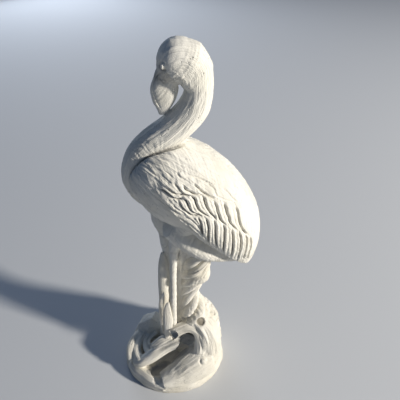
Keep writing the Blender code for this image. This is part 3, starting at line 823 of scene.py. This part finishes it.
def stroke_relief(points, place):
    """Feather strokes on the head, neck and shoulders, the face and the fold."""
    neck = NeckPlace(points)
    height = points[:, 2]
    feathered = feathered_part(points, neck)
    on_bill = (1.0 - feathered) * ease(height, *BILL_FOOT)
    on_tube = ease(neck.slack - neck.excess, *NEAR_TUBE)
    far, near = NECK_END
    on_tube *= 1.0 - ease(neck.along, neck.length - far, neck.length - near)
    on_head = 1.0 - ease(neck.along, *HEAD_TO_NECK)
    long_ones = summed(LONG_STROKES, neck.strokes) - LONG_SINK
    short_ones = summed(SHORT_STROKES, neck.strokes) - SHORT_SINK
    relief = feathered * on_tube * ((1.0 - on_head) * long_ones + on_head * short_ones)
    add_face(relief, points, on_bill)
    on_body = (1.0 - on_tube) * ease(-height, *BODY_TOP) * ease(height, *BODY_FOOT)
    shoulder = 1.0 - ease(place.back, *SHOULDER)
    plumes = creases(place.back, place.round, BODY_SIZE, *PLUMES)
    relief += on_body * (PLUME_DEPTH + SHOULDER_DEPTH * shoulder) * (plumes - 0.5)
    return relief - FOLD_DEPTH * breast_fold(points, place, neck)


def mark_bird_lie(mesh, points, place):
    """Feathers lie along the neck, and back and down over the body and the legs."""
    neck = NeckPlace(points)
    on_neck = neck.excess < LIE_MARGIN + neck.slack
    on_neck &= neck.along < neck.length - LIE_END
    on_leg = points[:, 2] < LEG_TOP
    along = np.where(on_leg, points[:, 2], place.back)
    leg_turn = LEG_GRAIN * np.arctan2(points[:, 1], points[:, 0] - LEG_AXIS)
    turn = np.where(on_leg, leg_turn, place.round / BODY_SIZE)
    radius = np.where(on_leg, LEG_GRAIN_RADIUS, BODY_SIZE)
    mark_lie(mesh, np.where(on_neck, neck.along, along), np.where(on_neck, neck.turn, turn),
             np.where(on_neck, neck.radius, radius))


# -------------------- pieces
def build_bird():
    clay = Clay()
    clay.tube(flat_rows(NECK), 40)
    clay.wrap(HEAD_BALLS)
    clay.wrap(NAPE_BALLS)
    clay.tube(flat_rows(TAIL), 40, 10, TAIL_FLATNESS)
    clay.ball(*VENT)
    clay.ball(*LOIN)
    clay.tube(LEG_LEFT)
    clay.tube(LEG_RIGHT)
    clay.rings(bill_rings())
    clay.rings(body_rings(False))
    bird = join("bird", clay, [wing_mesh(-1.0), wing_mesh(1.0)])
    fuse(bird, BIRD_VOXEL, 4)
    points, normals = points_and_normals(bird.data)
    place = BodyPlace(points)
    on_wing = ease(place.size, *ON_WING)
    relief = on_wing * wing_relief(place) + stroke_relief(points, place)
    set_points(bird.data, points + normals * relief[:, None])
    mark(bird.data, "relief", relief)
    mark_bird_lie(bird.data, points, place)
    thin(bird)
    shade_smooth(bird.data)
    return bird


def wave(z, index, share, rate, step):
    """A factor that rises and falls by a share, each ridge at its own heights."""
    return 1.0 + share * math.sin(rate * z + step * index)


def strand_rows(index):
    """One ridge twisted round the trunk, from its foot to its top."""
    rows = []
    for x, y, z, radius in curve_rows(TRUNK, 41)[2:]:
        turn = FULL_TURN * index / STRANDS + STRAND_TWIST * z
        swing = STRAND_SWING * radius * wave(z, index, *STRAND_SWAY)
        rows.append((
            x + swing * math.cos(turn), y + swing * math.sin(turn), z,
            STRAND_THICKNESS * radius * wave(z, index, *STRAND_SWELL)))
    return rows


class LimbPlace:
    """Where points lie on the nearest of several limbs: metres along and round."""

    def __init__(self, points):
        reach = STRAND_SWING + STRAND_THICKNESS
        trunk = [(x, y, z, reach * radius) for x, y, z, radius in TRUNK]
        found = np.zeros((len(points), 5))
        found[:, 0] = np.inf
        for number, rows in enumerate([trunk] + list(LIMBS.values())):
            path = curve_rows(rows, 6 * (len(rows) - 1) + 1)
            found = self.closest(points, path, number, found)
        self.ratio, self.along, self.turn, self.radius, self.limb = found.T.copy()

    def closest(self, points, path, number, found):
        """What was found so far, or this limb's where it is closer in its radii."""
        across = np.array([0.0, 1.0, 0.0])
        for start, end, step, size, travelled, share, away in stretches(points, path):
            ahead = step / size
            across = across - ahead * (across @ ahead)
            across /= np.linalg.norm(across)
            upward = np.cross(ahead, across)
            radius = start[3] + share * (end[3] - start[3])
            ratio = np.sqrt((away ** 2).sum(1)) / radius
            turn = np.arctan2(away @ upward, away @ across)
            limb = np.full(len(points), float(number))
            here = np.stack([ratio, travelled + share * size, turn, radius, limb], 1)
            found = np.where((ratio < found[:, 0])[:, None], here, found)
        return found

    def grain_turn(self):
        """Angle round each limb that stays the same along its grain."""
        return self.turn + np.where(self.limb == 0, GRAIN_TWIST * self.along, 0.0)

    def grain(self, length, width, seed):
        """Grain that follows each limb, and the twist of the trunk."""
        along = self.along + LIMB_SHIFT * self.limb
        around = self.grain_turn() * self.radius
        return creases(along, around, self.radius, length, width, seed)


# Relief of the wood. A pair of numbers is where something starts and is full.
LIMB_EDGE = (-1.45, -1.2)  # distance from a limb's middle in its radii, counted down
WOOD_GRAIN = ((0.0013, 0.04, 0.004, 21), (0.0022, 0.07, 0.0085, 22))
GRAIN_SINK = 0.0018  # how far the wood's skin sinks for its grain
GRAIN_FULL_RADIUS = 0.045  # a trunk this thick has its grain at full depth
LEAST_GRAIN = 0.3  # share of that depth on its thinnest stretch
LOG_GRAIN = 0.6  # share of it on the front log
SOIL_DEPTH = 0.001
SOIL_LUMPS = ((1.0, 0.014, 23), (0.5, 0.006, 24))  # share, size and seed
BUMP_DEPTH, BUMP_SIZE, BUMP_SEED = 0.0016, 0.024, 25  # wide bumps along the limbs
KNOT_CLEAR = (0.9, 1.4)  # radii from the knot where the grain comes back
SCAR_DEPTH, SCAR_WIDTH = 0.0034, 0.2  # metres, and radii of the knot
SCAR_SLANT = 0.5  # turns the scarred side down as well as towards -X
SCAR_SIDE = (-0.004, 0.006)
KNOT_RISE, KNOT_TOP = 0.003, (0.3, 0.95)
HOLE_CLEAR = (1.0, 2.0)  # radii from the knothole where the grain comes back
HOLE_DEPTH, HOLE_WALL = 0.0045, (0.7, 1.1)
STAIN_EDGE = (0.75, 1.2)  # radii from the knothole where its stain ends
CHANNEL_SHADE_EDGE = (1.1, 1.45)  # radii from the channel's middle where its painted shade ends
MARK_REACH = 4.0  # radii from a round mark that count as near it
FACING = 0.1  # how far a normal must lean along the marks' axis


def spot(points, normals, centre, radius):
    """Distance from a round mark's axis in radii, only on skin that faces it."""
    away = points - centre
    away -= (away @ KNOT_AXIS)[:, None] * KNOT_AXIS / (KNOT_AXIS @ KNOT_AXIS)
    distance = np.sqrt((away ** 2).sum(1)) / radius
    near = np.linalg.norm(points - centre, axis=1) < MARK_REACH * radius
    return np.where(near & (normals @ KNOT_AXIS > FACING), distance, np.inf)


def wood_relief(points, normals, place):
    """Grain along the limbs, the two knots, and rough ground between them."""
    on_limb = ease(-place.ratio, *LIMB_EDGE)
    grain = summed(WOOD_GRAIN, place.grain)
    lumps = sum(share * noise(points / size, seed) for share, size, seed in SOIL_LUMPS)
    stout = np.clip(place.radius / GRAIN_FULL_RADIUS, LEAST_GRAIN, 1.0)
    stout = np.where(place.limb == 0, stout, 1.0)
    stout = np.where(place.limb == FRONT_LOG, LOG_GRAIN, stout)
    relief = on_limb * stout * (grain - GRAIN_SINK) + (1.0 - on_limb) * SOIL_DEPTH * lumps
    relief += BUMP_DEPTH * on_limb * stout * noise(points / BUMP_SIZE, BUMP_SEED)
    from_knot = spot(points, normals, KNOT, KNOT_RADIUS)
    relief *= ease(from_knot, *KNOT_CLEAR)
    away = points - KNOT
    scar = ease(-away[:, 0] - SCAR_SLANT * away[:, 2], *SCAR_SIDE)
    relief -= SCAR_DEPTH * scar * np.exp(-((from_knot - 1.0) / SCAR_WIDTH) ** 2)
    relief += KNOT_RISE * (1.0 - ease(from_knot, *KNOT_TOP))
    from_hole = spot(points, normals, KNOTHOLE, KNOTHOLE_RADIUS)
    relief *= ease(from_hole, *HOLE_CLEAR)
    relief -= HOLE_DEPTH * (1.0 - ease(from_hole, *HOLE_WALL))
    return relief


def in_channel(points):
    """1 on the walls of the channel, which get painted shade, 0 away from them."""
    painted_channel_shade = np.zeros(len(points))
    for row in curve_rows(CHANNEL, 40):
        distance = np.sqrt(((points - row[:3]) ** 2).sum(1)) / row[3]
        painted_channel_shade = np.maximum(painted_channel_shade, 1.0 - ease(distance, *CHANNEL_SHADE_EDGE))
    return painted_channel_shade


def base_rings():
    rings = []
    for height, grow in BASE_PROFILE:
        length = BASE_HALF_LENGTH * grow
        width = BASE_HALF_WIDTH * grow
        rings.append([(length * math.cos(turn), width * math.sin(turn), height)
                      for turn in turns(90)])
    return rings


def build_wood():
    clay = Clay()
    clay.tube([(x, y, z, CORE_THICKNESS * radius) for x, y, z, radius in TRUNK])
    for index in range(STRANDS):
        clay.tube(strand_rows(index), 18, 3)
    for rows in LIMBS.values():
        clay.tube(rows)
    clay.ball(*KNOB)
    clay.ball(*KNOT_PAD)
    clay.hull(STONE)
    clay.rings(base_rings())
    wood = join("driftwood", clay)
    fuse(wood, WOOD_VOXEL, 3)
    hollows = Clay()
    hollows.tube(CHANNEL)
    hollows.ball(*BROKEN_END)
    cutter = new_object("hollows", hollows.mesh("hollows"))
    fuse(cutter, WOOD_VOXEL, 0)
    carve(wood, cutter)
    fuse(wood, WOOD_VOXEL, 2)
    points, normals = points_and_normals(wood.data)
    place = LimbPlace(points)
    relief = wood_relief(points, normals, place)
    moved = points + normals * relief[:, None]
    moved[:, 2] = np.where(points[:, 2] < GROUND_SNAP, 0.0, moved[:, 2])
    set_points(wood.data, moved)
    mark(wood.data, "relief", relief)
    mark_lie(wood.data, place.along + LIMB_SHIFT * place.limb, place.grain_turn(), place.radius)
    from_hole = spot(points, normals, KNOTHOLE, KNOTHOLE_RADIUS)
    mark(wood.data, "stain", 1.0 - ease(from_hole, *STAIN_EDGE))
    # how much painted shade the channel's walls get
    mark(wood.data, "painted_channel_shade", in_channel(points))
    thin(wood)
    shade_smooth(wood.data)
    return wood


def build_reeds():
    clay = Clay()
    for name, rows in REEDS.items():
        clay.tube(rows, 24, 10, LEAF_FLATNESS[name], (1.0, 0.0, 0.0))
    reeds = join("reeds_skin", clay)
    fuse(reeds, REED_VOXEL, 3)
    points = rows_of(reeds.data.vertices, "co")
    mark_lie(reeds.data, points[:, 2], points[:, 0] / LEAF_GRAIN_RADIUS,
             LEAF_GRAIN_RADIUS + points[:, 1])
    shade_smooth(reeds.data)
    return reeds


class Nodes:
    """Shorthand for wiring a material's nodes."""

    def __init__(self, material):
        material.use_nodes = True
        self.material = material
        self.tree = material.node_tree
        self.shader = self.tree.nodes["Principled BSDF"]

    def link(self, start, end):
        self.tree.links.new(start, end)

    def new(self, kind, **sockets):
        """A node, with a number or a link for each of the named sockets."""
        node = self.tree.nodes.new("ShaderNode" + kind)
        for name, value in sockets.items():
            if isinstance(value, float):
                node.inputs[name].default_value = value
            else:
                self.link(value, node.inputs[name])
        return node

    def noise(self, place, scale, detail):
        node = self.new("TexNoise", Vector=place, Scale=scale, Detail=detail)
        return node.outputs["Fac"]

    def pores(self, place, scale):
        return self.new("TexVoronoi", Vector=place, Scale=scale).outputs["Distance"]

    def attribute(self, name, output="Fac"):
        node = self.new("Attribute")
        node.attribute_name = name
        return node.outputs[output]

    def pattern(self, place, scale, detail, *spread):
        """Noise, with the four numbers of remap."""
        return self.remap(self.noise(place, scale, detail), *spread)

    def remap(self, value, low, high, to_low, to_high):
        ends = {"From Min": low, "From Max": high, "To Min": to_low, "To Max": to_high}
        return self.new("MapRange", Value=value, **ends).outputs["Result"]

    def maths(self, operation, first, second):
        node = self.new("Math")
        node.operation = operation
        for socket, value in zip(node.inputs, (first, second)):
            if isinstance(value, float):
                socket.default_value = value
            else:
                self.link(value, socket)
        return node.outputs["Value"]

    def blend(self, factor, first, second):
        """The first colour where the factor is 0, the second where it is 1."""
        node = self.new("Mix", Factor=factor)
        node.data_type = "RGBA"
        for name, value in (("A", first), ("B", second)):
            socket = next(one for one in node.inputs if one.name == name and one.type == "RGBA")
            if isinstance(value, tuple):
                socket.default_value = (*value, 1.0)
            else:
                self.link(value, socket)
        return next(one for one in node.outputs if one.type == "RGBA")

    def bump(self, height, depth):
        node = self.new("Bump", Distance=depth, Height=height)
        self.link(node.outputs["Normal"], self.shader.inputs["Normal"])


DARK_MARKS_AND_SHADE = (0.2, 0.19, 0.17)  # darker streaks along the grain, darker pores, and painted shade in the carved grooves
STAIN = (0.25, 0.22, 0.165)  # brown stain inside the knothole
CHANNEL_SHADE_COLOUR = (0.19, 0.2, 0.21)  # painted shade on the walls of the channel in the driftwood
SOIL = (0.47, 0.42, 0.32)  # splashes low on the base
STAIN_STRENGTH = 0.7
CHANNEL_SHADE_STRENGTH = 0.6
PORE_STRENGTH = 0.45
# Patterns: the noise's scale and detail, the values where it starts and is full,
# and what the pattern is worth at each.
CLOUDS = (16.0, 5.0, 0.35, 0.68, 0.0, 1.0)
PORE_PATCHES = (45.0, 2.0, 0.52, 0.62, 0.0, 1.0)
PATCHINESS = (90.0, 4.0, 0.3, 0.62, 0.55, 1.0)
SAND = (620.0, 3.0)  # scale and detail
GRAIN = (520.0, 3.0)
PORE_SCALE = 170.0
# Ranges: two values, and what is made of each.
PORE_RANGE = (0.1, 0.26, 1.0, 0.0)
SAND_SHADE = (0.46, 0.7, 0.0, 0.22)
SAND_ROUGHNESS = (0.3, 0.7, 0.82, 0.97)
GRAIN_SHADE = (0.42, 0.3, 0.0, 0.2)
GROOVE_SHADE = (-0.0012, -0.0038, 0.0, 0.88)  # from the relief, in metres
SOIL_RANGE = (0.03, 0.0, 0.0, 0.4)  # from the height, in metres
PORE_BUMP, GRAIN_BUMP = 1.5, 3.0  # against the sand's 1
BUMP_HEIGHT = 0.00045


def concrete(name, light, dark):
    """Cast concrete: cloudy off-white, with fine sand and small pores, and painted shade in its
    carved grooves and in the driftwood's channel.
    """
    nodes = Nodes(bpy.data.materials.new(name))
    place = nodes.new("TexCoord").outputs["Object"]
    clouds = nodes.pattern(place, *CLOUDS)
    sand = nodes.noise(place, *SAND)
    pits = nodes.remap(nodes.pores(place, PORE_SCALE), *PORE_RANGE)
    pits = nodes.maths("MULTIPLY", pits, nodes.pattern(place, *PORE_PATCHES))
    grain = nodes.noise(nodes.attribute("lie", "Vector"), *GRAIN)
    # painted shade in the grooves, darker where the relief dips deeper
    painted_groove_shade = nodes.remap(nodes.attribute("relief"), *GROOVE_SHADE)
    patchiness = nodes.pattern(place, *PATCHINESS)
    height = nodes.new("SeparateXYZ", Vector=place).outputs["Z"]
    low_down = nodes.remap(height, *SOIL_RANGE)
    stained = nodes.maths("MULTIPLY", nodes.attribute("stain"), STAIN_STRENGTH)
    painted_channel_shade = nodes.maths("MULTIPLY", nodes.attribute("painted_channel_shade"), CHANNEL_SHADE_STRENGTH)
    colour = nodes.blend(clouds, light, dark)
    colour = nodes.blend(nodes.remap(sand, *SAND_SHADE), colour, dark)
    colour = nodes.blend(nodes.remap(grain, *GRAIN_SHADE), colour, DARK_MARKS_AND_SHADE)
    # painted shade in the carved grooves, laid on in patches
    colour = nodes.blend(nodes.maths("MULTIPLY", painted_groove_shade, patchiness), colour, DARK_MARKS_AND_SHADE)
    colour = nodes.blend(nodes.maths("MULTIPLY", pits, PORE_STRENGTH), colour, DARK_MARKS_AND_SHADE)
    colour = nodes.blend(nodes.maths("MULTIPLY", low_down, patchiness), colour, SOIL)
    colour = nodes.blend(stained, colour, STAIN)
    # painted shade on the channel's walls
    colour = nodes.blend(painted_channel_shade, colour, CHANNEL_SHADE_COLOUR)
    nodes.link(colour, nodes.shader.inputs["Base Color"])
    nodes.link(nodes.remap(sand, *SAND_ROUGHNESS), nodes.shader.inputs["Roughness"])
    bumps = nodes.maths("SUBTRACT", sand, nodes.maths("MULTIPLY", pits, PORE_BUMP))
    bumps = nodes.maths("ADD", bumps, nodes.maths("MULTIPLY", grain, GRAIN_BUMP))
    nodes.bump(bumps, BUMP_HEIGHT)
    return nodes.material


def settle(piece, slot, material, *nodes):
    piece.data.materials.clear()
    piece.data.materials.append(material)
    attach(piece, "root")
    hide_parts(*nodes)


def build_eye(name, side):
    clay = Clay()
    clay.ball((EYE.x, EYE.y * side, EYE.z), EYE_HALF_SIZE, 32)
    eye = new_object(name, clay.mesh(name))
    recalculate(eye.data)
    shade_smooth(eye.data)
    return eye


bird_concrete = concrete("bird_concrete", (0.83, 0.8, 0.72), (0.72, 0.69, 0.6))
wood_concrete = concrete("wood_concrete", (0.82, 0.785, 0.7), (0.68, 0.64, 0.54))
settle(build_bird(), "bird_concrete", bird_concrete, "head", "neck_upper", "neck_lower", "trunk",
       "tail", "wing_left", "wing_right", "leg_left", "leg_right", "bill_upper", "bill_lower")
settle(build_wood(), "driftwood_concrete", wood_concrete, "driftwood_trunk", "driftwood_foot",
       "front_log", "curled_root", "stone", "base")
settle(build_reeds(), "driftwood_concrete", wood_concrete, "reeds")
settle(build_eye("eye_left_ball", -1.0), "eye_concrete", bird_concrete, "eye_left")
settle(build_eye("eye_right_ball", 1.0), "eye_concrete", bird_concrete, "eye_right")


# -------------------- stage
FLOOR_HALF_SIZE = 6.0
FLOOR_COLOUR = (0.58, 0.59, 0.6, 1.0)
FLOOR_ROUGHNESS = 0.9
SKY_COLOUR = (0.34, 0.56, 1.0, 1.0)
SKY_STRENGTH = 0.14
LIGHT_AIM = (0.0, 0.0, 0.4)
# Lights: place, diameter, power in watts and colour. Both were set one by one.
KEY = ((6.0, -2.3, 2.9), 0.6, 690.0, (1.0, 0.95, 0.87))
FILL = ((-1.5, 4.0, 1.6), 3.0, 60.0, (0.8, 0.88, 1.0))
# The camera stands for the photograph's. Its lens, tilt and place are assumed and
# were set for a statue as tall as this one. They weren't solved for.
CAMERA_PLACE = (0.07029, -0.59926, 1.01599)
CAMERA_TILT = math.atan(0.8)  # down from level
SENSOR_WIDTH = 36.0  # millimetres, as is the lens
LENS = 36.0
NEAREST_SEEN = 0.01


def add_floor():
    mesh = bpy.data.meshes.new("floor")
    corners = ((-1, -1), (1, -1), (1, 1), (-1, 1))
    mesh.from_pydata([(FLOOR_HALF_SIZE * x, FLOOR_HALF_SIZE * y, 0) for x, y in corners],
                     [], [(0, 1, 2, 3)])
    floor = new_object("floor", mesh)
    material = bpy.data.materials.new("floor_paint")
    material.use_nodes = True
    shader = material.node_tree.nodes["Principled BSDF"]
    shader.inputs["Base Color"].default_value = FLOOR_COLOUR
    shader.inputs["Roughness"].default_value = FLOOR_ROUGHNESS
    mesh.materials.append(material)


def add_light(name, place, size, power, colour):
    lamp = bpy.data.lights.new(name, "AREA")
    lamp.shape = "DISK"
    lamp.size = size
    lamp.energy = power
    lamp.color = colour
    thing = new_object(name, lamp)
    thing.location = place
    aim = Vector(LIGHT_AIM) - Vector(place)
    thing.rotation_euler = aim.to_track_quat("-Z", "Y").to_euler()


def add_world():
    world = bpy.data.worlds.new("studio")
    world.use_nodes = True
    sky = world.node_tree.nodes["Background"]
    sky.inputs["Color"].default_value = SKY_COLOUR
    sky.inputs["Strength"].default_value = SKY_STRENGTH
    bpy.context.scene.world = world


def add_camera():
    lens = bpy.data.cameras.new("camera")
    lens.sensor_width = SENSOR_WIDTH
    lens.lens = LENS
    lens.clip_start = NEAREST_SEEN
    camera = new_object("camera", lens)
    camera.location = CAMERA_PLACE
    camera.rotation_euler = (math.pi / 2.0 - CAMERA_TILT, 0.0, 0.0)
    bpy.context.scene.camera = camera


add_floor()
add_world()
add_light("key", *KEY)
add_light("fill", *FILL)
add_camera()

bpy.context.scene.view_settings.view_transform = "Standard"
